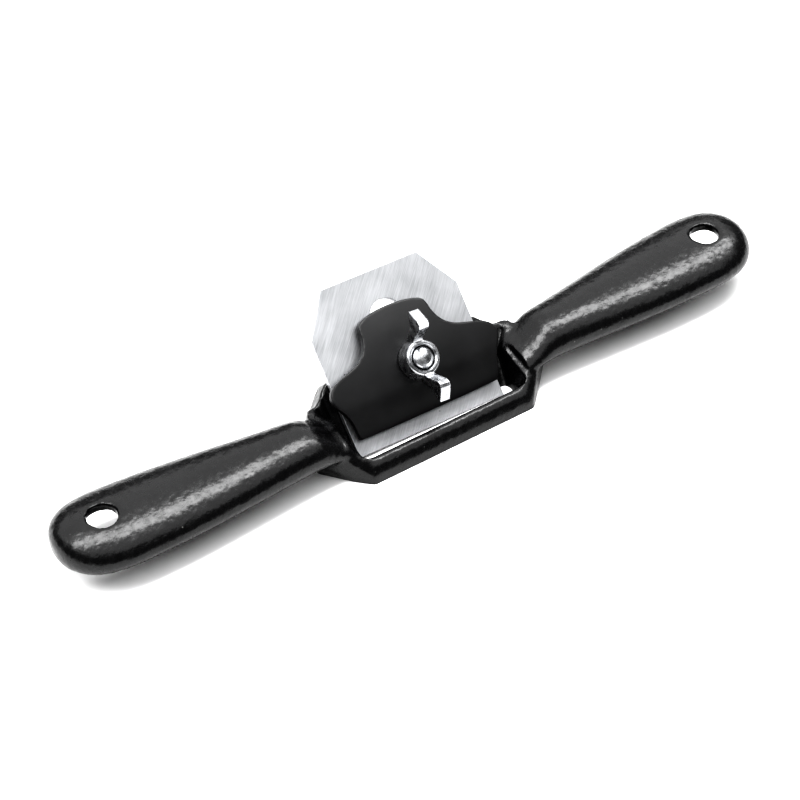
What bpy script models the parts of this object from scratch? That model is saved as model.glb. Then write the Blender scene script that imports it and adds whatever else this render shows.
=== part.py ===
# Flat-soled metal spokeshave: one iron casting with two straight handles, a bedded cutter,
# an arched lever cap and a wing nut on a square-necked bolt.
# World frame: +X along the handles, -Y towards the toe, +Z up, sole on Z = 0, metres.

import math

import bmesh
import bpy
from mathutils import Matrix, Vector

mm = 0.001

# Cutter
blade_width = 44.0 * mm
blade_length = 42.85 * mm
blade_set = 0.75 * mm
blade_top_width = 28.8 * mm
blade_clip = 11.1 * mm
blade_thickness = 1.7 * mm
blade_bevel = math.radians(28)
blade_land = 0.12 * mm
grind_front = 2.0 * mm
grind_back = 6.0 * mm
grind_under = -4.0 * mm
blade_skew = math.radians(-1.6)
blade_pivot = 15.0 * mm
blade_shift = -0.7 * mm
slot_radius = 4.8 * mm
slot_low = 11.0 * mm
slot_high = 34.3 * mm

# Bed, which carries the cutter
bed_angle = math.radians(43.2)
fit_gap = 0.3 * mm
bed_z = 1.05 * mm
bed_plate = 5.5 * mm
bolt_up_bed = 16.5 * mm

# Half outline of the seat cut into the cheeks for the cutter, from its lower corner up
seat_outline = [(24.8 * mm, 9.3 * mm), (28.8 * mm, 14.1 * mm), (28.8 * mm, 40.0 * mm)]

# Half outline of the bed plate, across the bed and up it
bed_outline = [
    (29.0 * mm, -2.0 * mm), (29.0 * mm, 14.8 * mm), (23.0 * mm, 20.4 * mm), (14.0 * mm, 22.6 * mm),
    (10.5 * mm, 25.0 * mm), (8.0 * mm, 26.9 * mm), (0.0, 27.5 * mm),
]

# Sole, front bar and heel. Profiles give distance behind the bed's origin and height over the sole.
# They start below the sole, which is then cut flat.
below_sole = -1.5 * mm
deep_cut = -20.0 * mm
toe_reach = 9.5 * mm
toe_half_width = 24.0 * mm
toe_profile = [
    (-toe_reach, below_sole), (-1.5 * mm, below_sole), (-4.4 * mm, 5.3 * mm),
    (-6.3 * mm, 5.2 * mm), (-7.9 * mm, 4.1 * mm), (-9.0 * mm, 2.3 * mm),
]
heel_half_width = 29.0 * mm
heel_profile = [
    (3.0 * mm, below_sole), (13.0 * mm, below_sole), (13.8 * mm, 4.0 * mm),
    (12.0 * mm, 9.05 * mm), (11.0 * mm, 8.55 * mm),
]

# The opening narrows downwards: height over the sole, front wall from the bed's origin, half width
mouth_levels = [
    (-2.0 * mm, -1.9 * mm, 23.7 * mm), (0.0, -2.8 * mm, 23.7 * mm),
    (5.5 * mm, -5.1 * mm, 25.2 * mm), (24.0 * mm, -5.1 * mm, 25.2 * mm),
]

# Corners of the web between a handle and the toe, measured from the bed's origin on the +X side
cheek_foot = -2.55 * mm
cheek_corners = [
    (24.5 * mm, -9.5 * mm, cheek_foot), (29.4 * mm, -2.2 * mm, cheek_foot), (34.1 * mm, 2.6 * mm, cheek_foot),
    (33.0 * mm, 12.0 * mm, cheek_foot), (22.0 * mm, 12.4 * mm, cheek_foot),
    (22.0 * mm, -9.1 * mm, cheek_foot), (24.4 * mm, -9.0 * mm, 1.2 * mm),
    (30.2 * mm, -3.6 * mm, 2.4 * mm), (35.4 * mm, 1.0 * mm, 3.0 * mm),
    (24.4 * mm, -6.4 * mm, 4.1 * mm), (28.0 * mm, -3.0 * mm, 6.1 * mm), (32.0 * mm, 0.0, 8.8 * mm),
    (35.0 * mm, 1.6 * mm, 10.6 * mm), (22.0 * mm, -6.7 * mm, 3.8 * mm), (22.0 * mm, -3.3 * mm, 4.0 * mm),
    (22.0 * mm, 8.0 * mm, 7.2 * mm), (31.0 * mm, 12.0 * mm, 10.6 * mm), (22.0 * mm, 14.5 * mm, 9.0 * mm),
    (30.0 * mm, 14.0 * mm, 9.0 * mm),
]

# Handles: an oval section that swells from handle_start over handle_run, rounded off over handle_cap
handle_root = 27.0 * mm
handle_start = 28.0 * mm
handle_run = 70.0 * mm
handle_end = 105.3 * mm
handle_cap = 11.0 * mm
swell_until = 0.9
root_half_depth = 7.6 * mm
swell_depth = 5.2 * mm
end_taper = 10.0 * mm
half_height = 5.5 * mm
half_height_gain = 0.7 * mm
handle_back = 3.8 * mm
handle_sweep = 3.2 * mm
handle_curve = 0.2 * mm
handle_lift = 8.5 * mm
handle_fall = 0.2 * mm
end_depth_power = 2.3
end_height_power = 2.6
end_angles = (14, 28, 42, 56, 68, 78)
handle_rings = 18
handle_sides = 28
root_rise_end = 37.0 * mm
root_drop = 5.0 * mm
hang_hole_at = 92.25 * mm
hang_hole_radius = 3.85 * mm

# Hollow under each handle's end, which leaves a thin crown round the hang hole
coring_start = 79.0 * mm
coring_end = 103.0 * mm
coring_wall = 2.0 * mm
coring_crown = 2.8 * mm
coring_nose = 7.0 * mm
coring_least = 0.6 * mm
coring_start_slope = 0.3 * mm
coring_foot = -3.0 * mm
coring_rings = 13

# Lever cap
cap_thickness = 2.0 * mm
cap_shift = -0.4 * mm
cap_skew = math.radians(-1.2)
cap_foot = 3.2 * mm
cap_top = 32.4 * mm
cap_crown = 12.5 * mm
cap_rise = 2.2 * mm
cap_hole_radius = 3.7 * mm
cap_fall_power = 2.2
cap_edge_round = 0.7 * mm
cap_stations = 23
cap_outline = [
    (20.6 * mm, cap_foot), (21.4 * mm, 3.9 * mm), (21.9 * mm, 8.0 * mm), (23.0 * mm, 11.0 * mm),
    (24.9 * mm, 13.6 * mm), (25.2 * mm, 15.6 * mm), (24.4 * mm, 17.6 * mm), (22.6 * mm, 18.9 * mm),
    (19.0 * mm, 20.1 * mm), (14.2 * mm, 21.5 * mm), (11.7 * mm, 23.7 * mm), (10.4 * mm, 26.7 * mm),
    (10.2 * mm, 29.4 * mm), (9.2 * mm, 30.9 * mm), (4.8 * mm, 32.1 * mm), (0.0, cap_top),
]

# Bolt and wing nut
bolt_radius = 2.95 * mm
bolt_end = 10.3 * mm
bolt_dome = [(0.0, 0.0), (1.6 * mm, 0.22 * mm), (2.5 * mm, 0.65 * mm), (bolt_radius, 1.2 * mm)]
neck_width = 6.0 * mm
neck_length = 3.5 * mm
head_radius = 6.6 * mm
neck_overlap = 0.4 * mm
head_height = 3.2 * mm
head_clearance = 0.9 * mm
head_dome = [(1.0, 0.19), (0.92, 0.5), (0.7, 0.8), (0.38, 0.97), (0.0, 1.0)]
nut_bore_radius = 3.2 * mm
hub_foot_radius = 5.25 * mm
hub_top_radius = 4.6 * mm
hub_height = 5.0 * mm
hub_bevel = 0.5 * mm
wing_thickness = 2.6 * mm
wing_outline = [
    (3.6 * mm, 0.9 * mm), (5.4 * mm, 1.5 * mm), (8.6 * mm, 6.2 * mm), (11.2 * mm, 7.4 * mm),
    (12.0 * mm, 8.4 * mm), (8.8 * mm, 11.4 * mm), (7.8 * mm, 11.7 * mm), (6.8 * mm, 10.8 * mm),
    (4.9 * mm, 5.6 * mm), (3.6 * mm, 4.2 * mm),
]
wing_turn = math.radians(-5)

tool_reach = 20.0 * mm
sides = 48

# The bed's axes start at (0, bed_y, bed_z), on the cutter's upper face just above its edge.
# The cutter's back corners reach furthest back, the toe furthest forward; the world origin is midway.
blade_reach = (
    (blade_length - blade_set + blade_top_width / 2 * math.sin(-blade_skew)) * math.cos(bed_angle)
    + blade_thickness * math.sin(bed_angle)
)
bed_y = (toe_reach - blade_reach) / 2
bed_depth = blade_thickness + fit_gap
cap_seat = 0.3 * mm


def clear_scene():
    for obj in list(bpy.data.objects):
        bpy.data.objects.remove(obj, do_unlink=True)


def new_collection(name):
    collection = bpy.data.collections.new(name)
    bpy.context.scene.collection.children.link(collection)
    return collection


def paint(obj, name, color, roughness, metallic):
    material = bpy.data.materials.new(name)
    material.use_nodes = True
    shader = material.node_tree.nodes["Principled BSDF"]
    shader.inputs["Base Color"].default_value = (*color, 1.0)
    shader.inputs["Roughness"].default_value = roughness
    shader.inputs["Metallic"].default_value = metallic
    obj.data.materials.clear()
    obj.data.materials.append(material)


def smooth(obj, degrees=35):
    obj.data.shade_smooth()
    obj.data.set_sharp_from_angle(angle=math.radians(degrees))


def link_mesh(name, bm, collection, parent=None):
    mesh = bpy.data.meshes.new(name)
    bm.to_mesh(mesh)
    bm.free()
    obj = bpy.data.objects.new(name, mesh)
    collection.objects.link(obj)
    obj.parent = parent
    return obj


def as_cutter(obj):
    obj.hide_render = True
    obj.display_type = "WIRE"


def boolean(obj, other, operation="DIFFERENCE"):
    modifier = obj.modifiers.new(operation.title() + " " + other.name, "BOOLEAN")
    modifier.operation = operation
    modifier.object = other


def flat_outline(name, loops, thickness, collection, parent=None, along_x=False):
    """A plate from closed outlines: in its XY plane, or in its YZ plane when along_x is set."""
    curve = bpy.data.curves.new(name, "CURVE")
    curve.dimensions = "2D"
    curve.fill_mode = "BOTH"
    curve.extrude = thickness / 2
    for loop in loops:
        spline = curve.splines.new("POLY")
        spline.points.add(len(loop) - 1)
        for point, (u, v) in zip(spline.points, loop):
            point.co = (u, v, 0.0, 1.0)
        spline.use_cyclic_u = True
    outline = bpy.data.objects.new(name, curve)
    collection.objects.link(outline)
    evaluated = outline.evaluated_get(bpy.context.evaluated_depsgraph_get())
    mesh = bpy.data.meshes.new_from_object(evaluated)
    bpy.data.objects.remove(outline, do_unlink=True)
    bm = bmesh.new()
    bm.from_mesh(mesh)
    bpy.data.meshes.remove(mesh)
    bmesh.ops.remove_doubles(bm, verts=bm.verts, dist=0.00001)
    if along_x:
        swap = Matrix(((0, 0, 1, 0), (1, 0, 0, 0), (0, 1, 0, 0), (0, 0, 0, 1)))
        bmesh.ops.transform(bm, matrix=swap, verts=bm.verts)
    bmesh.ops.recalc_face_normals(bm, faces=bm.faces)
    return link_mesh(name, bm, collection, parent)


def both_sides(half):
    """Closes an outline given from its lower right corner up to the middle line."""
    return half + [(-u, v) for u, v in reversed(half) if abs(u) > 1e-9]


def behind_bed(profile):
    return [(bed_y + y, z) for y, z in profile]


def arc(cx, cy, radius, start, end, steps):
    turn = (end - start) / steps
    return [
        (cx + radius * math.cos(math.radians(start + turn * i)),
         cy + radius * math.sin(math.radians(start + turn * i)))
        for i in range(steps + 1)
    ]


def turned_about(height, angle):
    """Where the bed's origin goes when a piece turns in the bed's plane about a point up its middle."""
    pivot = Vector((0, height, 0))
    return pivot - Matrix.Rotation(angle, 3, "Z") @ pivot


def ease(low, high, t):
    t = min(max(t, 0.0), 1.0)
    return low + (high - low) * t * t * (3 - 2 * t)


def handle_section(x):
    """Centre and half sizes of a handle's oval section at distance x from the middle."""
    t = (x - handle_start) / handle_run
    swell = math.sin(math.pi / 2 * min(max(t / swell_until, 0.0), 1.0)) ** 1.5
    depth = root_half_depth + swell_depth * swell - end_taper * max(t - swell_until, 0.0)
    height = half_height + half_height_gain * t
    centre_y = handle_back + handle_sweep * t + handle_curve * t * t
    centre_z = handle_lift - handle_fall * t
    u = min(max((x - handle_end + handle_cap) / handle_cap, 0.0), 1.0)
    depth *= (1 - u ** end_depth_power) ** (1 / end_depth_power)
    height *= (1 - u ** end_height_power) ** (1 / end_height_power)
    drop = ease(root_drop, 0.0, (x - handle_root) / (root_rise_end - handle_root)) / 2
    return centre_y, centre_z - drop, depth, height - drop


def loft(name, rings, collection):
    """A closed solid through rings of equal count."""
    bm = bmesh.new()
    loops = [[bm.verts.new(point) for point in ring] for ring in rings]
    count = len(loops[0])
    for one, two in zip(loops, loops[1:]):
        for i in range(count):
            j = (i + 1) % count
            bm.faces.new((one[i], one[j], two[j], two[i]))
    bm.faces.new(list(reversed(loops[0])))
    bm.faces.new(loops[-1])
    bmesh.ops.triangulate(bm, faces=bm.faces)
    bmesh.ops.recalc_face_normals(bm, faces=bm.faces)
    return link_mesh(name, bm, collection)


def make_coring(side, collection):
    rings = []
    for i in range(coring_rings):
        x = coring_start + (coring_end - coring_start) * i / (coring_rings - 1)
        centre_y, centre_z, depth, height = handle_section(x)
        y, z = bed_y + centre_y, bed_z + centre_z
        taper = math.sqrt(1 - max(1 - (x - coring_start + coring_start_slope) / coring_nose, 0.0) ** 2)
        half = (depth - coring_wall) * taper
        top = max((height - coring_crown) * taper, coring_least)
        ring = [(side * x, y + a, z + b) for a, b in arc(0, 0, 1, 0, 180, 12)]
        ring = [(px, y + (py - y) * half, z + (pz - z) * top) for px, py, pz in ring]
        rings.append(ring + [(side * x, y - half, coring_foot), (side * x, y + half, coring_foot)])
    return loft("coring", rings, collection)


def make_handle(side, collection):
    bm = bmesh.new()
    step = (handle_end - handle_cap - handle_root) / (handle_rings - 1)
    stations = [handle_root + step * i for i in range(handle_rings)]
    stations += [handle_end - handle_cap * (1 - math.sin(math.radians(a))) for a in end_angles]
    rings = []
    for x in stations:
        centre_y, centre_z, depth, height = handle_section(x)
        ring = []
        for i in range(handle_sides):
            angle = side * 2 * math.pi * i / handle_sides
            y = bed_y + centre_y + depth * math.cos(angle)
            z = bed_z + centre_z + height * math.sin(angle)
            ring.append(bm.verts.new((side * x, y, z)))
        rings.append(ring)
    for one, two in zip(rings, rings[1:]):
        for i in range(handle_sides):
            j = (i + 1) % handle_sides
            bm.faces.new((one[i], one[j], two[j], two[i]))
    centre_y, centre_z, _, _ = handle_section(handle_end)
    tip = bm.verts.new((side * handle_end, bed_y + centre_y, bed_z + centre_z))
    for i in range(handle_sides):
        bm.faces.new((rings[-1][i], rings[-1][(i + 1) % handle_sides], tip))
    bm.faces.new(list(reversed(rings[0])))
    bmesh.ops.recalc_face_normals(bm, faces=bm.faces)
    name = "handle_right" if side > 0 else "handle_left"
    return link_mesh(name, bm, collection)


def make_cheek(side, collection):
    """The web that joins a handle's root to the toe, with its top sloping down to the mouth."""
    bm = bmesh.new()
    for x, y, z in cheek_corners:
        bm.verts.new((side * x, bed_y + y, bed_z + z))
    hull = bmesh.ops.convex_hull(bm, input=bm.verts)
    inside = [v for v in hull["geom_interior"] if isinstance(v, bmesh.types.BMVert)]
    bmesh.ops.delete(bm, geom=inside, context="VERTS")
    bmesh.ops.recalc_face_normals(bm, faces=bm.faces)
    return link_mesh("cheek_right" if side > 0 else "cheek_left", bm, collection)


def make_casting(parts, cutters, bed):
    """Handles, cheeks, toe, heel and bed plate as one iron casting, with its mouth and holes."""
    casting = flat_outline("casting", [behind_bed(toe_profile)], 2 * toe_half_width, parts, along_x=True)
    plate = flat_outline("bed_plate", [both_sides(bed_outline)], bed_plate, cutters, bed)
    plate.location = (0, 0, -bed_depth - bed_plate / 2)
    heel = flat_outline("heel", [behind_bed(heel_profile)], 2 * heel_half_width, cutters, along_x=True)

    for joined in (plate, heel):
        as_cutter(joined)
        boolean(casting, joined, "UNION")
    for side in (-1, 1):
        for joined in (make_cheek(side, cutters), make_handle(side, cutters)):
            as_cutter(joined)
            boolean(casting, joined, "UNION")

    bed_back = bed_depth / math.sin(bed_angle)
    rings = []
    for z, front, half in mouth_levels:
        back = (z - bed_z) / math.tan(bed_angle) + bed_back
        rings.append([(half, bed_y + front, z), (half, bed_y + back, z),
                      (-half, bed_y + back, z), (-half, bed_y + front, z)])
    throat = loft("throat", rings, cutters)

    clearing = flat_outline("cutter_seat", [both_sides(seat_outline)], tool_reach, cutters, bed)
    clearing.location = (0, 0, -bed_depth + tool_reach / 2)

    under = both_sides([(2 * tool_reach, deep_cut), (2 * tool_reach, 0.0)])
    below = flat_outline("under_sole", [under], 6 * tool_reach, cutters, along_x=True)
    neck = 0.5 * neck_width + fit_gap
    square = [(-neck, bolt_up_bed - neck), (neck, bolt_up_bed - neck),
              (neck, bolt_up_bed + neck), (-neck, bolt_up_bed + neck)]
    neck_hole = flat_outline("neck_hole", [square], tool_reach, cutters, bed)
    neck_hole.location = (0, 0, -bed_depth - bed_plate / 2)

    circle = arc(0, bolt_up_bed, head_radius + head_clearance, 0, 360 - 360 / sides, sides - 1)
    head_room = flat_outline("head_room", [circle], tool_reach, cutters, bed)
    head_room.location = (0, 0, -bed_depth - bed_plate - tool_reach / 2)

    for removed in (throat, clearing, below, neck_hole, head_room):
        as_cutter(removed)
        boolean(casting, removed)
    for side in (-1, 1):
        centre_y, centre_z, _, height = handle_section(hang_hole_at)
        bm = bmesh.new()
        bmesh.ops.create_cone(
            bm, cap_ends=True, segments=sides, radius1=hang_hole_radius, radius2=hang_hole_radius,
            depth=4 * height,
            matrix=Matrix.Translation((side * hang_hole_at, bed_y + centre_y, bed_z + centre_z)),
        )
        hole = link_mesh("hang_hole", bm, cutters)
        for removed in (hole, make_coring(side, cutters)):
            as_cutter(removed)
            boolean(casting, removed)
    paint(casting, "black_enamel", (0.02, 0.02, 0.022), 0.35, 0.0)
    smooth(casting)
    return casting


def make_blade(parts, cutters, bed):
    top = blade_length - blade_set
    half = [(blade_width / 2, -blade_set), (blade_width / 2, top - blade_clip), (blade_top_width / 2, top)]
    slot = arc(0, slot_high - slot_radius, slot_radius, 0, 180, 16)
    slot += arc(0, slot_low + slot_radius, slot_radius, 180, 360, 16)
    blade = flat_outline("blade", [both_sides(half), slot], blade_thickness, parts, bed)
    blade.data.transform(Matrix.Translation((0, 0, -blade_thickness / 2)))
    blade.location = turned_about(blade_pivot, blade_skew) + Vector((blade_shift, 0, 0))
    blade.rotation_euler = (0, 0, blade_skew)

    slope = math.tan(blade_bevel)
    grind = [
        (-blade_set - grind_front, grind_front * slope - blade_land), (-blade_set - grind_front, grind_under),
        (-blade_set + grind_back, grind_under), (-blade_set + grind_back, -blade_land - grind_back * slope),
    ]
    wedge = flat_outline("bevel_grind", [grind], 3 * tool_reach, cutters, blade, along_x=True)
    as_cutter(wedge)
    boolean(blade, wedge)
    paint(blade, "ground_steel", (0.72, 0.73, 0.75), 0.3, 1.0)
    smooth(blade)
    return blade


def cap_surface(v):
    """Height of the cap's underside above the cutter at distance v up the bed."""
    if v < cap_crown:
        t = (v - cap_foot) / (cap_crown - cap_foot)
        return cap_seat + cap_rise * math.sin(math.pi / 2 * t)
    t = (v - cap_crown) / (cap_top - cap_crown)
    return cap_seat + cap_rise * (1 - t ** cap_fall_power)


def make_lever_cap(parts, cutters, bed):
    hole = arc(0, bolt_up_bed, cap_hole_radius, 0, 360 - 360 / sides, sides - 1)
    cap = flat_outline("lever_cap", [both_sides(cap_outline), hole], tool_reach, parts, bed)
    cap.location = turned_about(bolt_up_bed, cap_skew) + Vector((cap_shift, 0, 0))
    cap.rotation_euler = (0, 0, cap_skew)

    low, high = cap_foot - 1 * mm, cap_top + 1 * mm
    steps = [low + (high - low) * i / (cap_stations - 1) for i in range(cap_stations)]
    lower = [(v, cap_surface(min(max(v, cap_foot), cap_top))) for v in steps]
    upper = [(v, n + cap_thickness) for v, n in reversed(lower)]
    upper[-1] = (upper[-1][0], upper[-1][1] - cap_edge_round)
    arch = flat_outline("cap_arch", [lower + upper], 4 * tool_reach, cutters, bed, along_x=True)
    as_cutter(arch)
    boolean(cap, arch, "INTERSECT")
    paint(cap, "black_satin_paint", (0.025, 0.025, 0.027), 0.45, 0.0)
    smooth(cap)
    return cap


def turned(name, profile, collection, parent):
    """A solid of revolution about its own Z from a profile of (radius, height), top to bottom."""
    bm = bmesh.new()
    points = [bm.verts.new((r, 0, z)) for r, z in profile]
    for one, two in zip(points, points[1:]):
        bm.edges.new((one, two))
    obj = link_mesh(name, bm, collection, parent)
    screw = obj.modifiers.new("Turn", "SCREW")
    screw.axis = "Z"
    screw.angle = 2 * math.pi
    screw.steps = sides
    screw.render_steps = sides
    screw.use_merge_vertices = True
    screw.merge_threshold = 0.00001
    screw.use_smooth_shade = True
    return obj


def make_bolt(parts, cutters, bolt_axis):
    under_head = -bed_depth - bed_plate - fit_gap
    profile = [(radius, bolt_end - drop) for radius, drop in bolt_dome]
    profile += [(bolt_radius, under_head), (head_radius, under_head)]
    profile += [(head_radius * part, under_head - head_height * deep) for part, deep in head_dome]
    bolt = turned("bolt", profile, parts, bolt_axis)
    neck = neck_width / 2
    square = [(-neck, -neck), (neck, -neck), (neck, neck), (-neck, neck)]
    neck_block = flat_outline("square_neck", [square], neck_length, cutters, bolt_axis)
    neck_block.location = (0, 0, under_head + neck_length / 2 - neck_overlap)
    as_cutter(neck_block)
    boolean(bolt, neck_block, "UNION")
    paint(bolt, "zinc_steel", (0.62, 0.62, 0.64), 0.25, 1.0)
    smooth(bolt)
    return bolt


def make_wing_nut(parts, cutters, bolt_axis):
    seat = cap_surface(bolt_up_bed) + cap_thickness + fit_gap
    profile = [
        (nut_bore_radius, hub_height), (hub_top_radius - hub_bevel, hub_height),
        (hub_top_radius, hub_height - hub_bevel), (hub_foot_radius, hub_bevel),
        (hub_foot_radius - hub_bevel, 0.0),
        (nut_bore_radius, 0.0), (nut_bore_radius, hub_height),
    ]
    nut = turned("wing_nut", profile, parts, bolt_axis)
    nut.location = (0, 0, seat)
    nut.rotation_euler = (0, 0, wing_turn)
    for side in (-1, 1):
        outline = [(side * w, n) for w, n in wing_outline]
        wing = flat_outline("wing", [outline], wing_thickness, cutters, nut, along_x=True)
        as_cutter(wing)
        boolean(nut, wing, "UNION")
    paint(nut, "bright_zinc", (0.7, 0.7, 0.72), 0.2, 1.0)
    smooth(nut)
    return nut


def main():
    clear_scene()
    parts = new_collection("spokeshave")
    cutters = new_collection("cutters")
    bed = bpy.data.objects.new("bed_axes", None)
    parts.objects.link(bed)
    bed.location = (0, bed_y, bed_z)
    bed.rotation_euler = (bed_angle, 0, 0)
    bolt_axis = bpy.data.objects.new("bolt_axis", None)
    parts.objects.link(bolt_axis)
    bolt_axis.parent = bed
    bolt_axis.location = (0, bolt_up_bed, 0)
    bpy.context.view_layer.update()

    make_casting(parts, cutters, bed)
    make_blade(parts, cutters, bed)
    make_lever_cap(parts, cutters, bed)
    make_bolt(parts, cutters, bolt_axis)
    make_wing_nut(parts, cutters, bolt_axis)


main()
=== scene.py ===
import math

import bpy
from mathutils import Matrix, Vector


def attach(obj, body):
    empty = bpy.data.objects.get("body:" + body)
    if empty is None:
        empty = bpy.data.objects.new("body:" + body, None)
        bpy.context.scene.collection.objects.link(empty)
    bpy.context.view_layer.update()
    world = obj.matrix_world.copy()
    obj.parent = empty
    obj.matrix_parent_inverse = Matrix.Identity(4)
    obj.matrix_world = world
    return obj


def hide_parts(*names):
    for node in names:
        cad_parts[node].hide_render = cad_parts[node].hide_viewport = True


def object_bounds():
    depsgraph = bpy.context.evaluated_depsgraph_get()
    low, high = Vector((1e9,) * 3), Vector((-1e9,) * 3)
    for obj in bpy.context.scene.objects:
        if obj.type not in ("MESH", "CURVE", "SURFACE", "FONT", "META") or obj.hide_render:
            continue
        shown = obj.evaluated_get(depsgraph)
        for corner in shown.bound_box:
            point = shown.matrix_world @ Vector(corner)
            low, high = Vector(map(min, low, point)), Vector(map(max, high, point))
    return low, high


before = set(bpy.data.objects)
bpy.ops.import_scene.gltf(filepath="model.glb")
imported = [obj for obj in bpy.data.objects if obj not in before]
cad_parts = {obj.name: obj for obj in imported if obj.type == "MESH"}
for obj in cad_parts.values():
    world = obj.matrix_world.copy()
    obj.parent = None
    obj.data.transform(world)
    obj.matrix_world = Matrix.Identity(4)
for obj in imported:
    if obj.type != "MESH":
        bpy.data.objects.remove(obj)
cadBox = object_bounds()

# Flat-soled metal spokeshave. Lengths in the dictionaries are millimetres; the scene is in metres.
# X runs along the handles, Y towards the heel and Z up from the sole.
mm = 0.001

# The bed that the cutter lies on. Its own axes run across it, up it and away from it.
bed = {
    "angle": 43.2,
    "y": -11.3232,
    "z": 1.05,
    "bolt": 16.5,  # how far up the bed the bolt stands
}


def pick(piece):
    if bpy.context.mode != "OBJECT":
        bpy.ops.object.mode_set(mode="OBJECT")
    bpy.ops.object.select_all(action="DESELECT")
    piece.select_set(True)
    bpy.context.view_layer.objects.active = piece


def openMesh(piece):
    pick(piece)
    bpy.ops.object.mode_set(mode="EDIT")
    bpy.ops.mesh.select_all(action="SELECT")


def closeMesh():
    # merges doubles, then turns every face outwards
    bpy.ops.mesh.select_all(action="SELECT")
    bpy.ops.mesh.remove_doubles(threshold=0.001 * mm)
    bpy.ops.mesh.normals_make_consistent(inside=False)
    bpy.ops.object.mode_set(mode="OBJECT")


def newRing(name, points):
    # a ring of vertices laid on the given points, in millimetres
    bpy.ops.object.select_all(action="DESELECT")
    bpy.ops.mesh.primitive_circle_add(vertices=len(points), radius=mm)
    piece = bpy.context.object
    piece.name = name
    piece.data.name = name
    for vertex, point in zip(piece.data.vertices, points):
        vertex.co = Vector(point) * mm
    return piece


def platePiece(name, outline, low, high):
    # an outline across and up, filled and drawn out from low to high
    piece = newRing(name, [(a, b, low) for a, b in outline])
    openMesh(piece)
    bpy.ops.mesh.edge_face_add()
    bpy.ops.mesh.extrude_region_move(TRANSFORM_OT_translate={"value": (0, 0, (high - low) * mm)})
    closeMesh()
    return piece


def barPiece(name, outline, low, high):
    # a side profile, filled and drawn out along X from low to high
    piece = newRing(name, [(low, a, b) for a, b in outline])
    openMesh(piece)
    bpy.ops.mesh.edge_face_add()
    bpy.ops.mesh.extrude_region_move(TRANSFORM_OT_translate={"value": ((high - low) * mm, 0, 0)})
    closeMesh()
    return piece


def turnedPiece(name, profile, sides):
    # a profile of radius and height, spun about the upright axis
    piece = newRing(name, [(r, 0, z) for r, z in profile])
    openMesh(piece)
    bpy.ops.mesh.select_all(action="DESELECT")
    bpy.ops.object.mode_set(mode="OBJECT")
    for edge in piece.data.edges:
        ends = [piece.data.vertices[i].co.x for i in edge.vertices]
        edge.select = max(ends) < 0.001 * mm
    bpy.ops.object.mode_set(mode="EDIT")
    bpy.ops.mesh.delete(type="EDGE")
    bpy.ops.mesh.select_all(action="SELECT")
    bpy.ops.mesh.spin(steps=sides, angle=math.tau, center=(0, 0, 0), axis=(0, 0, 1))
    closeMesh()
    return piece


def loftPiece(name, rings):
    # rings of equal count, bridged one to the next and closed at both ends
    pieces = [newRing(name, ring) for ring in rings]
    pick(pieces[0])
    for piece in pieces:
        piece.select_set(True)
    bpy.ops.object.join()
    piece = bpy.context.object
    openMesh(piece)
    bpy.ops.mesh.bridge_edge_loops(type="PAIRS" if len(rings) == 2 else "SINGLE")
    bpy.ops.mesh.select_all(action="SELECT")
    bpy.ops.mesh.fill_holes(sides=0)
    closeMesh()
    return piece


def mirrored(half):
    # the other half of an outline given from its lower right corner to the middle line
    return half + [(-a, b) for a, b in reversed(half) if abs(a) > 0.001]


def arcPoints(cx, cy, radius, start, end, steps):
    angles = [math.radians(start + (end - start) * i / steps) for i in range(steps + 1)]
    return [(cx + radius * math.cos(t), cy + radius * math.sin(t)) for t in angles]


def softened(outline, passes=2):
    # each pass cuts every corner, so the outline turns into a smooth line
    for _ in range(passes):
        cut = []
        for (ax, ay), (bx, by) in zip(outline, outline[1:] + outline[:1]):
            cut.append((ax * 0.75 + bx * 0.25, ay * 0.75 + by * 0.25))
            cut.append((ax * 0.25 + bx * 0.75, ay * 0.25 + by * 0.75))
        outline = cut
    return outline


def layOnBed(piece, skew=0.0, pivot=0.0, shift=0.0, up=0.0, out=0.0):
    # moves a piece from the bed's own axes to its place, and leaves its object at the origin
    turn = Matrix.Rotation(math.radians(skew), 4, "Z")
    about = Matrix.Translation((shift * mm, (pivot + up) * mm, out * mm))
    back = Matrix.Translation((0, -pivot * mm, 0))
    tilt = Matrix.Rotation(math.radians(bed["angle"]), 4, "X")
    piece.matrix_world = Matrix.Translation((0, bed["y"] * mm, bed["z"] * mm)) @ tilt @ about @ turn @ back
    pick(piece)
    bpy.ops.object.transform_apply(location=True, rotation=True, scale=True)
    return piece


def finish(piece, kind, **settings):
    # adds a modifier and applies it
    modifier = piece.modifiers.new(kind.title(), kind)
    for name, value in settings.items():
        setattr(modifier, name, value)
    pick(piece)
    bpy.ops.object.modifier_apply(modifier=modifier.name)


def combine(piece, others, operation="DIFFERENCE"):
    # every solid is closed, which suits the manifold solver
    for other in others:
        finish(piece, "BOOLEAN", operation=operation, object=other, solver="MANIFOLD", material_mode="TRANSFER")
        bpy.data.objects.remove(other, do_unlink=True)


def bevelWhere(piece, wanted, width, segments):
    # bevels the edges for which wanted(middle, direction, turn in degrees) holds
    mesh = piece.data
    openMesh(piece)
    bpy.ops.mesh.select_all(action="DESELECT")
    bpy.ops.mesh.select_mode(type="EDGE")
    bpy.ops.object.mode_set(mode="OBJECT")
    sides = {}
    for face in mesh.polygons:
        for key in face.edge_keys:
            sides.setdefault(key, []).append(face.normal.copy())
    for edge in mesh.edges:
        a, b = (mesh.vertices[i].co for i in edge.vertices)
        normals = sides.get(edge.key, [])
        turn = math.degrees(normals[0].angle(normals[1])) if len(normals) == 2 else 0.0
        edge.select = wanted((a + b) / 2, (b - a).normalized(), turn)
    bpy.ops.object.mode_set(mode="EDIT")
    bpy.ops.mesh.bevel(offset=width * mm, segments=segments, affect="EDGES")
    closeMesh()


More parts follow.
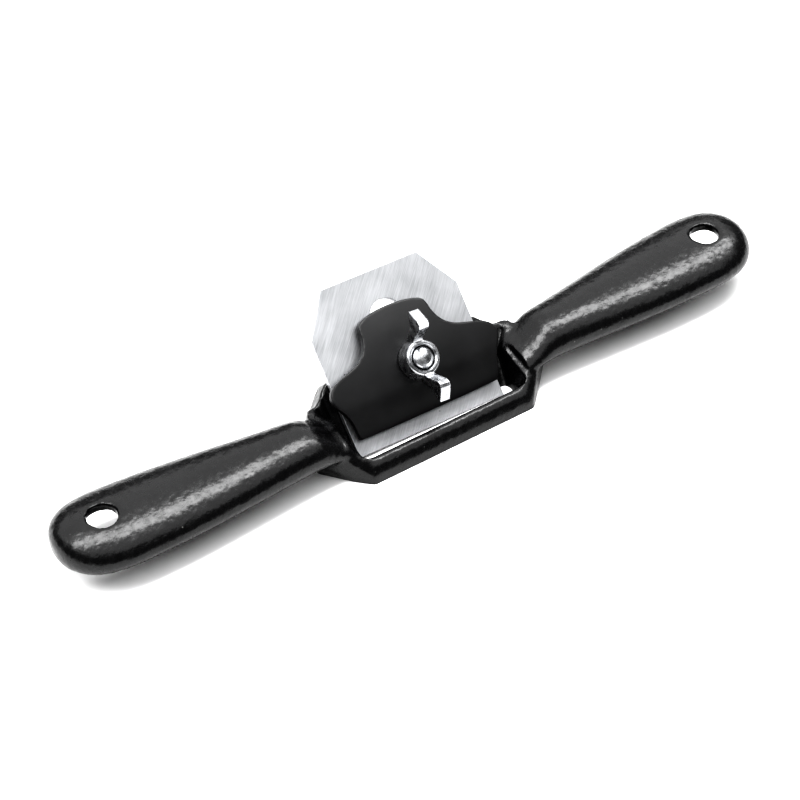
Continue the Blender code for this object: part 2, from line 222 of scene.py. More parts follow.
def linearColour(code):
    parts = [int(code[i:i + 2], 16) / 255 for i in (1, 3, 5)]
    return tuple(c / 12.92 if c <= 0.04045 else ((c + 0.055) / 1.055) ** 2.4 for c in parts) + (1.0,)


def addNode(tree, kind, settings=None, links=None):
    node = tree.nodes.new(kind)
    for name, value in (settings or {}).items():
        if isinstance(name, str) and hasattr(node, name):
            setattr(node, name, value)
        else:
            node.inputs[name].default_value = value
    for socket, source in (links or {}).items():
        tree.links.new(source, node.inputs[socket])
    return node


def setStops(ramp, stops):
    # stops are (position, colour code or grey) from left to right
    elements = ramp.color_ramp.elements
    while len(elements) < len(stops):
        elements.new(0.5)
    for element, (position, value) in zip(elements, stops):
        element.position = position
        element.color = linearColour(value) if isinstance(value, str) else (value, value, value, 1.0)
    return ramp.outputs["Color"]


def newFinish(name):
    material = bpy.data.materials.new(name)
    material.use_nodes = True
    tree = material.node_tree
    tree.nodes.clear()
    place = addNode(tree, "ShaderNodeTexCoord").outputs["Object"]
    return material, tree, place


def closeFinish(tree, settings, links):
    shader = addNode(tree, "ShaderNodeBsdfPrincipled", settings, links)
    addNode(tree, "ShaderNodeOutputMaterial", {}, {"Surface": shader.outputs["BSDF"]})


def stovedEnamel():
    # Black stoving enamel dipped over a sand casting: glossy, with the sand's lumps showing through
    # the film as orange peel, a few specks of dust set in it and a film whose tone varies a little in large soft
    # clouds.
    look = {
        "lumps": 1.4,  # mm, sand texture under the film
        "peel": 0.55,  # mm, orange peel; real peel is about 0.5 mm
        "specks": 5.5,  # mm between dust specks
    }
    material, tree, place = newFinish("blackStovedEnamel")
    lumps = addNode(tree, "ShaderNodeTexNoise", {"Scale": 1 / (look["lumps"] * mm), "Detail": 2.0}, {"Vector": place})
    peel = addNode(tree, "ShaderNodeTexNoise", {"Scale": 1 / (look["peel"] * mm), "Detail": 1.0}, {"Vector": place})
    specks = addNode(
        tree, "ShaderNodeTexVoronoi", {"Scale": 1 / (look["specks"] * mm), "Randomness": 1.0}, {"Vector": place}
    )
    speckSpot = addNode(tree, "ShaderNodeMapRange", {1: 0.0, 2: 0.05, 3: 1.0, 4: 0.0}, {0: specks.outputs["Distance"]})
    cloud = addNode(tree, "ShaderNodeTexNoise", {"Scale": 1 / (14 * mm), "Detail": 3.0}, {"Vector": place})
    film = addNode(tree, "ShaderNodeValToRGB", {}, {"Fac": cloud.outputs["Fac"]})
    filmColour = setStops(film, [(0.35, "#060607"), (0.7, "#0c0c0d")])
    dust = addNode(
        tree, "ShaderNodeMix", {"data_type": "RGBA", 7: linearColour("#6e6e6c")},
        {0: speckSpot.outputs[0], 6: filmColour},
    )
    gloss = addNode(tree, "ShaderNodeMapRange", {1: 0.3, 2: 0.75, 3: 0.2, 4: 0.32}, {0: lumps.outputs["Fac"]})
    coarse = addNode(
        tree, "ShaderNodeBump", {"Strength": 0.7, "Distance": 0.12 * mm}, {"Height": lumps.outputs["Fac"]}
    )
    fine = addNode(
        tree, "ShaderNodeBump", {"Strength": 0.35, "Distance": 0.05 * mm},
        {"Height": peel.outputs["Fac"], "Normal": coarse.outputs["Normal"]},
    )
    closeFinish(
        tree, {"Metallic": 0.0, "IOR": 1.5},
        {"Base Color": dust.outputs[2], "Roughness": gloss.outputs[0], "Normal": fine.outputs["Normal"]},
    )
    return material


def scratchedMetal(name, tones, look, rough, dots):
    # parallel grinding lines on bare metal: noise drawn out along the lines
    material, tree, place = newFinish(name)
    flat = addNode(
        tree, "ShaderNodeMapping",
        {"vector_type": "TEXTURE", "Location": (0, bed["y"] * mm, bed["z"] * mm),
         "Rotation": (math.radians(look["tilt"]), 0, 0)},
        {"Vector": place},
    )
    turned = addNode(
        tree, "ShaderNodeMapping",
        {"vector_type": "TEXTURE", "Rotation": (0, 0, math.radians(look["turn"])),
         "Scale": (look["length"] * mm, look["line"] * mm, look["line"] * mm * 4)},
        {"Vector": flat.outputs["Vector"]},
    )
    crossed = addNode(
        tree, "ShaderNodeMapping",
        {"vector_type": "TEXTURE", "Rotation": (0, 0, math.radians(look["turn"] + look["cross"])),
         "Scale": (look["length"] * mm * 1.6, look["line"] * mm * 2.2, look["line"] * mm * 4)},
        {"Vector": flat.outputs["Vector"]},
    )
    lines = addNode(tree, "ShaderNodeTexNoise", {"Scale": 1.0, "Detail": 4.0, "Roughness": 0.62},
                    {"Vector": turned.outputs["Vector"]})
    strays = addNode(tree, "ShaderNodeTexNoise", {"Scale": 1.0, "Detail": 2.0, "Roughness": 0.5},
                     {"Vector": crossed.outputs["Vector"]})
    cloud = addNode(tree, "ShaderNodeTexNoise", {"Scale": 1 / (look["cloud"] * mm), "Detail": 3.0}, {"Vector": place})
    both = addNode(
        tree, "ShaderNodeMix", {"data_type": "FLOAT", 0: 0.3},
        {2: lines.outputs["Fac"], 3: strays.outputs["Fac"]},
    )
    shade = addNode(
        tree, "ShaderNodeMix", {"data_type": "FLOAT", 0: 0.35}, {2: both.outputs[0], 3: cloud.outputs["Fac"]}
    )
    ramp = addNode(tree, "ShaderNodeValToRGB", {}, {"Fac": shade.outputs[0]})
    colour = setStops(ramp, [(0.3, tones[0]), (0.5, tones[1]), (0.68, tones[2])])
    pits = addNode(
        tree, "ShaderNodeTexVoronoi", {"Scale": 1 / (dots["apart"] * mm), "Randomness": 1.0}, {"Vector": place}
    )
    spot = addNode(
        tree, "ShaderNodeMapRange", {1: dots["size"] * 0.5, 2: dots["size"], 3: 1.0, 4: 0.0},
        {0: pits.outputs["Distance"]},
    )
    colour = addNode(
        tree, "ShaderNodeMix", {"data_type": "RGBA", 7: linearColour(dots["colour"])},
        {0: spot.outputs[0], 6: colour},
    ).outputs[2]
    gloss = addNode(
        tree, "ShaderNodeMapRange", {1: 0.3, 2: 0.7, 3: rough[0], 4: rough[1]}, {0: both.outputs[0]}
    )
    bump = addNode(
        tree, "ShaderNodeBump", {"Strength": look["depth"], "Distance": 0.03 * mm}, {"Height": both.outputs[0]}
    )
    closeFinish(
        tree, {"Metallic": 1.0},
        {"Base Color": colour, "Roughness": gloss.outputs[0], "Normal": bump.outputs["Normal"]},
    )
    return material


def groundCutterSteel():
    # Tool steel surface-ground at an angle across the blade: bright, even, with fine slanting lines.
    # Real grinding lines are about 0.05 mm apart, drawn four times as coarse so that they show.
    look = {"tilt": bed["angle"], "turn": 45.0, "cross": 9.0, "length": 18.0, "line": 0.22, "cloud": 9.0, "depth": 0.5}
    dots = {"apart": 6.5, "size": 0.05, "colour": "#4a4a4c"}
    return scratchedMetal("groundCutterSteel", ("#999a9c", "#b8b9bb", "#cdced0"), look, (0.4, 0.52), dots)


def groundIron():
    # Grey iron bared on a belt after the enamel: dull silver with lines along the tool.
    look = {"tilt": 0.0, "turn": 4.0, "cross": 7.0, "length": 14.0, "line": 0.3, "cloud": 7.0, "depth": 0.6}
    dots = {"apart": 2.6, "size": 0.07, "colour": "#3b3a39"}
    return scratchedMetal("groundIron", ("#7f8082", "#a7a8aa", "#c4c5c6"), look, (0.34, 0.5), dots)


def satinBlackPaint():
    # Air-dried black paint on a smooth pressed and filed cap: satin, nearly flat, with light rubs
    # round the nut and a faint thinning of the film.
    look = {
        "film": 0.9,  # mm, spray texture; real spray texture is about 0.3 mm
        "rubs": 0.35,  # mm, width of a rub mark
        "rubRing": (4.8, 7.8),  # mm from the bolt, where the nut's underside wears the paint
    }
    material, tree, place = newFinish("satinBlackPaint")
    film = addNode(tree, "ShaderNodeTexNoise", {"Scale": 1 / (look["film"] * mm), "Detail": 2.0}, {"Vector": place})
    cloud = addNode(tree, "ShaderNodeTexNoise", {"Scale": 1 / (9 * mm), "Detail": 4.0}, {"Vector": place})
    centred = addNode(
        tree, "ShaderNodeMapping",
        {"vector_type": "TEXTURE", "Location": boltPlace(4.5), "Rotation": (math.radians(bed["angle"]), 0, 0)},
        {"Vector": place},
    )
    reach = addNode(tree, "ShaderNodeVectorMath", {"operation": "LENGTH"}, {0: centred.outputs["Vector"]})
    inner, outer = (r * mm for r in look["rubRing"])
    near = addNode(tree, "ShaderNodeMapRange", {1: inner, 2: outer, 3: 1.0, 4: 0.0}, {0: reach.outputs["Value"]})
    marks = addNode(
        tree, "ShaderNodeTexNoise", {"Scale": 1 / (look["rubs"] * mm), "Detail": 3.0, "Roughness": 0.7},
        {"Vector": place},
    )
    rubbed = addNode(tree, "ShaderNodeMapRange", {1: 0.55, 2: 0.72, 3: 0.0, 4: 0.8}, {0: marks.outputs["Fac"]})
    wear = addNode(tree, "ShaderNodeMath", {"operation": "MULTIPLY"}, {0: near.outputs[0], 1: rubbed.outputs[0]})
    ramp = addNode(tree, "ShaderNodeValToRGB", {}, {"Fac": cloud.outputs["Fac"]})
    paint = setStops(ramp, [(0.3, "#101011"), (0.7, "#19191a")])
    colour = addNode(
        tree, "ShaderNodeMix", {"data_type": "RGBA", 7: linearColour("#3a3a3b")}, {0: wear.outputs[0], 6: paint}
    )
    gloss = addNode(tree, "ShaderNodeMapRange", {1: 0.3, 2: 0.7, 3: 0.36, 4: 0.46}, {0: cloud.outputs["Fac"]})
    bump = addNode(tree, "ShaderNodeBump", {"Strength": 0.2, "Distance": 0.04 * mm}, {"Height": film.outputs["Fac"]})
    closeFinish(
        tree, {"Metallic": 0.0, "IOR": 1.48},
        {"Base Color": colour.outputs[2], "Roughness": gloss.outputs[0], "Normal": bump.outputs["Normal"]},
    )
    return material


def brightZinc(name, tones, rough, ripple, turned):
    # zinc over metal: bright, soft-edged reflections, clouded, with rings where it was turned
    material, tree, place = newFinish(name)
    skin = addNode(tree, "ShaderNodeTexNoise", {"Scale": 1 / (ripple * mm), "Detail": 2.0}, {"Vector": place})
    cloud = addNode(tree, "ShaderNodeTexNoise", {"Scale": 1 / (1.6 * mm), "Detail": 3.0}, {"Vector": place})
    ramp = addNode(tree, "ShaderNodeValToRGB", {}, {"Fac": cloud.outputs["Fac"]})
    colour = setStops(ramp, [(0.3, tones[0]), (0.55, tones[1]), (0.75, tones[2])])
    gloss = addNode(
        tree, "ShaderNodeMapRange", {1: 0.3, 2: 0.7, 3: rough[0], 4: rough[1]}, {0: cloud.outputs["Fac"]}
    )
    bump = addNode(
        tree, "ShaderNodeBump", {"Strength": 0.35, "Distance": 0.05 * mm}, {"Height": skin.outputs["Fac"]}
    )
    normal = bump.outputs["Normal"]
    if turned:
        centred = addNode(
            tree, "ShaderNodeMapping",
            {"vector_type": "TEXTURE", "Location": boltPlace(0.0), "Rotation": (math.radians(bed["angle"]), 0, 0),
             "Scale": (mm, mm, 1.0)},
            {"Vector": place},
        )
        reach = addNode(tree, "ShaderNodeVectorMath", {"operation": "LENGTH"}, {0: centred.outputs["Vector"]})
        wave = addNode(tree, "ShaderNodeMath", {"operation": "MULTIPLY", 1: math.tau / turned},
                       {0: reach.outputs["Value"]})
        rings = addNode(tree, "ShaderNodeMath", {"operation": "SINE"}, {0: wave.outputs[0]})
        ringBump = addNode(
            tree, "ShaderNodeBump", {"Strength": 0.25, "Distance": 0.03 * mm},
            {"Height": rings.outputs[0], "Normal": normal},
        )
        normal = ringBump.outputs["Normal"]
    closeFinish(
        tree, {"Metallic": 1.0}, {"Base Color": colour, "Roughness": gloss.outputs[0], "Normal": normal}
    )
    return material


def boltPlace(out):
    # a point on the bolt's axis, out from the bed, in metres
    tilt = Matrix.Rotation(math.radians(bed["angle"]), 3, "X")
    point = tilt @ Vector((0, bed["bolt"], out)) + Vector((0, bed["y"], bed["z"]))
    return tuple(point * mm)


enamel = stovedEnamel()
bareIron = groundIron()
cutterSteel = groundCutterSteel()
capPaint = satinBlackPaint()
# Zinc die casting, tumbled bright: soft edges and slightly pebbled skin.
nutZinc = brightZinc("tumbledZinc", ("#939496", "#b6b7b9", "#cfd0d2"), (0.2, 0.34), 0.8, 0)
# Zinc plate on turned steel: a little greyer, with faint turning rings on its end.
boltZinc = brightZinc("zincPlate", ("#8f9092", "#b9babc", "#d6d7d8"), (0.2, 0.34), 1.1, 0.55)
print("finishes ready")


# Casting: handles, cheeks, toe, heel and bed in one piece of iron.

casting = {
    "root": 27.0,  # where a handle starts inside its cheek
    "end": 105.3,
    "endRound": 11.0,
    "rootHalfDepth": 7.6,
    "swell": 5.2,
    "halfHeight": 5.5,
    "rootDrop": 5.0,  # how much lower the top is at the root
    "dropEnds": 37.0,
    "holeAt": 92.25,
    "holeRadius": 3.85,
    "coring": (79.0, 103.0),  # hollow on the underside of each handle's end
    "coringWall": 2.0,
    "coringCrown": 2.8,  # thickness left over the hollow
    "mouthLow": 23.7,  # half width of the opening at the sole and at the toe's top
    "mouthHigh": 25.2,
    "mouthCorner": 1.2,
    "skin": 0.5,  # size of the cells that the outer skin is rebuilt from
    "rounding": 7,  # passes that round the cast edges
    "sandDepth": 0.11,
    "sandGrain": 1.3,
    "bareHalf": 23.8,  # half width of the bare seat
    "seatDepth": 1.86,  # bare seat under the cutter, below the cutter's upper face
    "plateDepth": 7.5,
    "plateProud": 1.45,
}


def between(low, high, t):
    t = min(max(t, 0.0), 1.0)
    return low + (high - low) * t * t * (3 - 2 * t)


def handleSection(x):
    # centre and half sizes of the oval at x
    t = (x - 28.0) / 70.0
    swell = math.sin(math.pi / 2 * min(max(t / 0.9, 0.0), 1.0)) ** 1.5
    depth = casting["rootHalfDepth"] + casting["swell"] * swell - 10.0 * max(t - 0.9, 0.0)
    height = casting["halfHeight"] + 0.7 * t
    y = bed["y"] + 3.8 + 3.2 * t + 0.2 * t * t
    z = bed["z"] + 8.5 - 0.2 * t
    u = min(max((x - casting["end"] + casting["endRound"]) / casting["endRound"], 0.0), 1.0)
    depth *= (1 - u ** 2.3) ** (1 / 2.3)
    height *= (1 - u ** 2.6) ** (1 / 2.6)
    rise = (x - casting["root"]) / (casting["dropEnds"] - casting["root"])
    drop = between(casting["rootDrop"], 0.0, rise) / 2
    return y, z - drop, depth, height - drop


def handlePiece(side):
    # one oval, drawn out station by station and resized at each
    first, last = casting["root"], casting["end"] - casting["endRound"]
    stations = [first + (last - first) * i / 26 for i in range(27)]
    stations += [casting["end"] - casting["endRound"] * (1 - math.sin(math.radians(a))) for a in range(9, 88, 7)]
    y, z, depth, height = handleSection(first)
    ring = [(side * first, y + depth * math.cos(math.tau * i / 48), z + height * math.sin(math.tau * i / 48))
            for i in range(48)]
    piece = newRing("handle", ring)
    openMesh(piece)
    before = (first, y, z, depth, height)
    for x in stations[1:]:
        y, z, depth, height = handleSection(x)
        step = Vector((side * (x - before[0]), y - before[1], z - before[2])) * mm
        bpy.ops.mesh.extrude_region_move(TRANSFORM_OT_translate={"value": step})
        bpy.ops.transform.resize(
            value=(1, depth / before[3], height / before[4]), center_override=Vector((side * x, y, z)) * mm
        )
        before = (x, y, z, depth, height)
    bpy.ops.mesh.select_all(action="SELECT")
    bpy.ops.mesh.fill_holes(sides=0)
    closeMesh()
    return piece


def cheekPiece(side):
    # the web between a handle's root and the toe; its top slopes down to the opening
    below = -2.55
    corners = [
        (24.5, -9.5, below), (29.4, -2.2, below), (34.1, 2.6, below), (33.0, 12.0, below), (22.0, 12.4, below),
        (22.0, -9.1, below), (24.4, -9.0, 1.2), (30.2, -3.6, 2.4), (35.4, 1.0, 3.0),
        (24.4, -6.4, 4.1), (28.0, -3.0, 6.1), (32.0, 0.0, 8.8), (35.0, 1.6, 10.6),
        (22.0, -6.7, 3.8), (22.0, -3.3, 4.0), (22.0, 8.0, 7.2), (31.0, 12.0, 10.6),
        (22.0, 14.5, 9.0), (30.0, 14.0, 9.0),
    ]
    piece = newRing("cheek", [(side * x, bed["y"] + y, bed["z"] + z) for x, y, z in corners])
    openMesh(piece)
    bpy.ops.mesh.convex_hull()
    closeMesh()
    return piece


def coringPiece(side):
    # the hollow under a handle's end, which leaves a thin crown round the hanging hole
    first, last = casting["coring"]
    rings = []
    for i in range(13):
        x = first + (last - first) * i / 12
        y, z, depth, height = handleSection(x)
        taper = math.sqrt(1 - max(1 - (x - first + 0.3) / 7.0, 0.0) ** 2)
        half = (depth - casting["coringWall"]) * taper
        top = max((height - casting["coringCrown"]) * taper, 0.6)
        arch = [(y + half * math.cos(math.radians(t)), z + top * math.sin(math.radians(t))) for t in range(0, 181, 15)]
        rings.append([(side * x, b, c) for b, c in arch + [(y - half, -3.0), (y + half, -3.0)]])
    return loftPiece("coring", rings)


def castingPiece():
    y = bed["y"]
    wallLow, wallHigh = casting["mouthLow"], casting["mouthHigh"]
    toe = [(y - 9.5, -1.5), (y - 1.5, -1.5), (y - 4.4, 5.3), (y - 6.3, 5.2), (y - 7.9, 4.1), (y - 9.0, 2.3)]
    body = barPiece("casting", toe, -24.0, 24.0)
    plateHalf = [(29.0, -2.0), (29.0, 14.8), (23.0, 20.4), (14.0, 22.6), (10.5, 25.0), (8.0, 26.9), (0.0, 27.5)]
    plate = layOnBed(platePiece("plate", mirrored(plateHalf), -casting["plateDepth"], -casting["plateProud"]))
    heel = [(y + 3.0, -1.5), (y + 13.0, -1.5), (y + 13.8, 4.0), (y + 12.0, 9.05), (y + 11.0, 8.55)]
    webs = [cheekPiece(-1), cheekPiece(1), handlePiece(-1), handlePiece(1)]
    combine(body, [plate, barPiece("heel", heel, -29.0, 29.0)] + webs, "UNION")
    print("casting: solids joined")

    # The opening narrows towards the sole. Its back runs on down from the bed.
    rise = math.tan(math.radians(bed["angle"]))
    behind = 2.0 / math.sin(math.radians(bed["angle"]))
    rings = []
    for z, front, half in ((-2.0, -1.9, wallLow), (0.0, -2.8, wallLow), (5.5, -5.1, wallHigh), (24.0, -5.1, wallHigh)):
        back = (z - bed["z"]) / rise + behind
        nose = casting["mouthCorner"]
        corner = arcPoints(half - nose, y + front + nose, nose, -90, 0, 6)
        rings.append([(a, b, z) for a, b in corner] + [(half, y + back, z), (-half, y + back, z)]
                     + [(-a, b, z) for a, b in reversed(corner)])
    opening = loftPiece("opening", rings)
    seatHalf = [(wallHigh - 0.4, 9.3), (28.8, 14.1), (28.8, 40.0)]
    seatRoom = seatHalf + [(-a, b) for a, b in reversed(seatHalf)]
    room = layOnBed(platePiece("room", seatRoom, -casting["plateProud"], 20.0))
    holes = []
    for side in (-1, 1):
        y2, z2, _, height = handleSection(casting["holeAt"])
        circle = [(side * casting["holeAt"] + a, y2 + b) for a, b in arcPoints(0, 0, casting["holeRadius"], 0, 352.5, 47)]
        holes.append(platePiece("hole", circle, z2 - 3 * height, z2 + 3 * height))
        holes.append(coringPiece(side))
    combine(body, [opening, room] + holes)
    print("casting: opening and holes cut")

    finish(body, "REMESH", mode="VOXEL", voxel_size=casting["skin"] * mm, use_smooth_shade=True)
    finish(body, "SMOOTH", factor=0.5, iterations=casting["rounding"])
    sand = bpy.data.textures.new("sand", "CLOUDS")
    sand.noise_scale = casting["sandGrain"] * mm
    sand.noise_depth = 1
    finish(body, "DISPLACE", texture=sand, texture_coords="LOCAL", strength=casting["sandDepth"] * mm, mid_level=0.5)
    body.data.materials.clear()
    body.data.materials.append(enamel)
    print("casting: skin has", len(body.data.polygons), "faces")

    under = platePiece("under", [(-120, -40), (120, -40), (120, 40), (-120, 40)], -10.0, 0.0)
    half = casting["bareHalf"]
    bareSeat = [(half, 4.0), (half, 40.0), (-half, 40.0), (-half, 4.0)]
    seat = layOnBed(platePiece("seat", bareSeat, -casting["seatDepth"], 20.0))
    neck = 3.3
    square = [(-neck, bed["bolt"] - neck), (neck, bed["bolt"] - neck), (neck, bed["bolt"] + neck), (-neck, bed["bolt"] + neck)]
    neckHole = layOnBed(platePiece("neckHole", square, -14.0, 6.0))
    headSeat = layOnBed(platePiece("headSeat", arcPoints(0, bed["bolt"], 7.5, 0, 352.5, 47), -27.5, -casting["plateDepth"]))
    for tool in (under, seat, neckHole, headSeat):
        tool.data.materials.append(bareIron)
    combine(body, [under, seat, neckHole, headSeat])
    pick(body)
    bpy.ops.object.shade_smooth_by_angle(angle=math.radians(35))
    print("casting: faces ground,", len(body.data.polygons), "faces")
    return body


castingBody = castingPiece()
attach(castingBody, "frame")
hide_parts("casting")

cutter = {
    "halfWidth": 22.0,
    "edge": -0.75,  # how far past the bed's origin the edge is set
    "shoulder": 31.0,
    "top": 42.1,
    "topHalfWidth": 14.4,
    "thickness": 1.7,
    "slotRadius": 4.8,
    "slot": (11.0, 34.3),
    "bevel": 28.0,
    "skew": -1.6,
    "pivot": 15.0,
    "shift": -0.7,
}


def cutterPiece():
    half = [
        (cutter["halfWidth"], cutter["edge"]), (cutter["halfWidth"], cutter["shoulder"]),
        (cutter["topHalfWidth"], cutter["top"]),
    ]
    piece = platePiece("cutter", mirrored(half), -cutter["thickness"], 0.0)
    low, high = cutter["slot"]
    radius = cutter["slotRadius"]
    slot = arcPoints(0, high - radius, radius, 0, 180, 20) + arcPoints(0, low + radius, radius, 180, 360, 20)
    slope = math.tan(math.radians(cutter["bevel"]))
    edge = cutter["edge"]
    grind = [(edge - 2, 2 * slope - 0.12), (edge - 2, -5.0), (edge + 6, -5.0), (edge + 6, -0.12 - 6 * slope)]
    combine(piece, [platePiece("slot", slot, -4.0, 2.0), barPiece("grind", grind, -30.0, 30.0)])
    bevelWhere(piece, lambda middle, way, turn: turn > 35 and middle.y > (edge + 0.4) * mm, 0.1, 2)
    piece.data.materials.clear()
    piece.data.materials.append(cutterSteel)
    return layOnBed(piece, cutter["skew"], cutter["pivot"], cutter["shift"])


cutterBody = cutterPiece()
pick(cutterBody)
bpy.ops.object.shade_flat()
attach(cutterBody, "cutter")
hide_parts("blade")
print("cutter done")

cap = {
    "foot": 3.2,
    "crown": 12.5,
    "top": 32.4,
    "seat": 0.3,
    "rise": 2.2,
    "thickness": 2.0,
    "holeRadius": 3.7,
    "shift": -0.4,
    "skew": -1.2,
    "skin": 0.25,
    "rounding": 5,
    "half": [
        (20.6, 3.2), (21.4, 3.9), (21.9, 8.0), (23.0, 11.0), (24.9, 13.6), (25.2, 15.6), (24.4, 17.6),
        (22.6, 18.9), (19.0, 20.1), (14.2, 21.5), (11.7, 23.7), (10.4, 26.7), (10.2, 29.4), (9.2, 30.9),
        (4.8, 32.1), (0.0, 32.4),
    ],
}


def capUnderside(v):
    v = min(max(v, cap["foot"]), cap["top"])
    if v < cap["crown"]:
        return cap["seat"] + cap["rise"] * math.sin(math.pi / 2 * (v - cap["foot"]) / (cap["crown"] - cap["foot"]))
    return cap["seat"] + cap["rise"] * (1 - ((v - cap["crown"]) / (cap["top"] - cap["crown"])) ** 2.2)


def capPiece():
    piece = platePiece("leverCap", softened(mirrored(cap["half"])), -4.0, 12.0)
    stations = [cap["foot"] - 1 + (cap["top"] - cap["foot"] + 2) * i / 60 for i in range(61)]
    under = [(v, capUnderside(v)) for v in stations]
    over = [(v, n + cap["thickness"]) for v, n in reversed(under)]
    combine(piece, [barPiece("arch", under + over, -40.0, 40.0)], "INTERSECT")
    finish(piece, "REMESH", mode="VOXEL", voxel_size=cap["skin"] * mm, use_smooth_shade=True)
    finish(piece, "SMOOTH", factor=0.5, iterations=cap["rounding"])
    hole = platePiece("hole", arcPoints(0, bed["bolt"], cap["holeRadius"], 0, 352.5, 47), -4.0, 12.0)
    combine(piece, [hole])
    piece.data.materials.clear()
    piece.data.materials.append(capPaint)
    layOnBed(piece, cap["skew"], bed["bolt"], cap["shift"])
    pick(piece)
    bpy.ops.object.shade_smooth_by_angle(angle=math.radians(40))
    return piece


capBody = capPiece()
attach(capBody, "cap")
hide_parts("lever_cap")
print("lever cap done,", len(capBody.data.polygons), "faces")

bolt = {
    "radius": 2.95,
    "end": 10.3,
    "neck": 6.0,
    "neckLength": 3.1,
    "headRadius": 6.6,
    "headHeight": 3.2,
    "head": -7.8,  # underside of the head, below the cutter's upper face
}


def boltPiece():
    radius, end, head = bolt["radius"], bolt["end"], bolt["head"]
    profile = [
        (0.0, end), (0.8, end - 0.05), (1.6, end - 0.22), (2.3, end - 0.5), (2.7, end - 0.82),
        (radius, end - 1.2), (radius, head), (bolt["headRadius"], head),
    ]
    for part, deep in ((1.0, 0.19), (0.97, 0.35), (0.9, 0.53), (0.8, 0.7), (0.66, 0.84), (0.45, 0.94), (0.22, 0.99), (0.0, 1.0)):
        profile.append((bolt["headRadius"] * part, head - bolt["headHeight"] * deep))
    piece = turnedPiece("bolt", profile, 72)
    half = bolt["neck"] / 2
    square = [(-half, -half), (half, -half), (half, half), (-half, half)]
    combine(piece, [platePiece("neck", square, head - 0.4, head + bolt["neckLength"])], "UNION")
    bevelWhere(piece, lambda middle, way, turn: turn > 60, 0.12, 2)
    piece.data.materials.clear()
    piece.data.materials.append(boltZinc)
    layOnBed(piece, up=bed["bolt"])
    pick(piece)
    bpy.ops.object.shade_smooth_by_angle(angle=math.radians(35))
    return piece


boltBody = boltPiece()
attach(boltBody, "frame")
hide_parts("bolt")
print("bolt done")

wingNut = {
    "bore": 3.2,
    "foot": 5.25,
    "top": 4.6,
    "height": 5.0,
    "turn": -5.0,
    "thickness": 2.9,
    "skin": 0.15,
    "rounding": 4,
    "wing": [
        (3.6, 0.9), (5.4, 1.5), (8.6, 6.2), (11.2, 7.4), (12.0, 8.4), (8.8, 11.4), (7.8, 11.7), (6.8, 10.8),
        (4.9, 5.6), (3.6, 4.2),
    ],
}


def wingNutPiece():
    height = wingNut["height"]
    hub = [
        (0.0, height), (wingNut["top"] - 0.4, height), (wingNut["top"], height - 0.4),
        (wingNut["foot"], 0.7), (wingNut["foot"] - 0.3, 0.0), (0.0, 0.0),
    ]
    piece = turnedPiece("wingNut", hub, 72)
    half = wingNut["thickness"] / 2
    wings = [barPiece("wing", [(side * w, n) for w, n in wingNut["wing"]], -half, half) for side in (-1, 1)]
    combine(piece, wings, "UNION")
    finish(piece, "REMESH", mode="VOXEL", voxel_size=wingNut["skin"] * mm, use_smooth_shade=True)
    finish(piece, "SMOOTH", factor=0.5, iterations=wingNut["rounding"])
    bore = wingNut["bore"]
    boreTool = turnedPiece(
        "bore", [(0.0, height + 1.6), (bore + 2.0, height + 1.6), (bore, height - 0.45), (bore, 0.4), (bore + 1.0, -0.6), (0.0, -0.6)], 72
    )
    combine(piece, [boreTool])
    piece.data.materials.clear()
    piece.data.materials.append(nutZinc)
    seat = capUnderside(bed["bolt"]) + cap["thickness"] + 0.3
    layOnBed(piece, wingNut["turn"], 0.0, 0.0, bed["bolt"], seat)
    pick(piece)
    bpy.ops.object.shade_smooth_by_angle(angle=math.radians(40))
    return piece


nutBody = wingNutPiece()
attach(nutBody, "nut")
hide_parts("wing_nut")
print("wing nut done,", len(nutBody.data.polygons), "faces")

studio = {
    "floor": "#f4f4f4",
    "skyPower": 0.22,
    "ceilingPower": 38.0,
    "stripPower": 12.0,
    "lens": 112.9,  # mm on a 36 mm sensor
    "azimuth": -34.21,
    "elevation": 44.4,
    "roll": 0.14,
    "distance": 641.66,
    "aside": -9.05,
    "raised": 5.49,
}


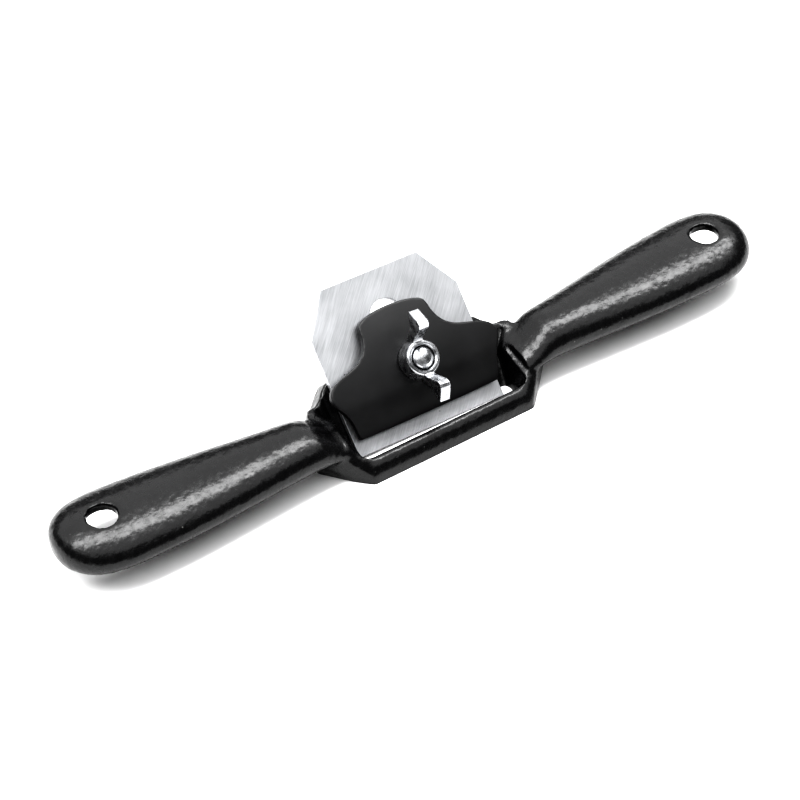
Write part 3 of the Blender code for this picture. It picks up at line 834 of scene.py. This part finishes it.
def paleFloor():
    # Matt white paper sheet: bright and even, with a trace of fibre.
    bpy.ops.object.select_all(action="DESELECT")
    bpy.ops.mesh.primitive_plane_add(size=6.0, location=(0, 0, cadBox[0][2]))
    floor = bpy.context.object
    floor.name = "floor"
    material, tree, place = newFinish("whitePaper")
    fibre = addNode(tree, "ShaderNodeTexNoise", {"Scale": 1 / (3 * mm), "Detail": 3.0}, {"Vector": place})
    ramp = addNode(tree, "ShaderNodeValToRGB", {}, {"Fac": fibre.outputs["Fac"]})
    colour = setStops(ramp, [(0.3, "#f2f2f2"), (0.7, studio["floor"])])
    closeFinish(tree, {"Roughness": 0.9, "IOR": 1.4}, {"Base Color": colour})
    floor.data.materials.append(material)


def addLight(name, place, power, width, height):
    bpy.ops.object.select_all(action="DESELECT")
    bpy.ops.object.light_add(type="AREA", location=place)
    light = bpy.context.object
    light.name = name
    light.data.shape = "RECTANGLE"
    light.data.size = width
    light.data.size_y = height
    light.data.energy = power
    light.rotation_euler = Vector(place).to_track_quat("Z", "Y").to_euler()


def addCamera():
    a, e, r = (math.radians(studio[k]) for k in ("azimuth", "elevation", "roll"))
    back = Vector((math.sin(a) * math.cos(e), -math.cos(a) * math.cos(e), math.sin(e)))
    right = Vector((math.cos(a), math.sin(a), 0))
    up = back.cross(right)
    across = right * math.cos(r) + up * math.sin(r)
    upright = up * math.cos(r) - right * math.sin(r)
    place = back * studio["distance"] + across * studio["aside"] + upright * studio["raised"]
    place += Vector((0, bed["y"], bed["z"]))
    bpy.ops.object.select_all(action="DESELECT")
    bpy.ops.object.camera_add(location=place * mm)
    camera = bpy.context.object
    camera.matrix_world = Matrix((
        (across.x, upright.x, back.x, place.x * mm),
        (across.y, upright.y, back.y, place.y * mm),
        (across.z, upright.z, back.z, place.z * mm),
        (0, 0, 0, 1),
    ))
    camera.data.lens = studio["lens"]
    camera.data.sensor_width = 36
    camera.data.clip_start = 0.01
    bpy.context.scene.camera = camera


paleFloor()
addLight("ceiling", (0, 0.25, 1.1), studio["ceilingPower"], 3.0, 3.0)
addLight("strip", (0, 0.08, 0.9), studio["stripPower"], 1.8, 0.24)
world = bpy.data.worlds.new("studio")
bpy.context.scene.world = world
world.use_nodes = True
world.node_tree.nodes["Background"].inputs["Color"].default_value = (1, 1, 1, 1)
world.node_tree.nodes["Background"].inputs["Strength"].default_value = studio["skyPower"]
bpy.context.scene.view_settings.view_transform = "Standard"
bpy.context.scene.view_settings.look = "Very High Contrast"
addCamera()
print("studio ready")

bpy.context.view_layer.update()
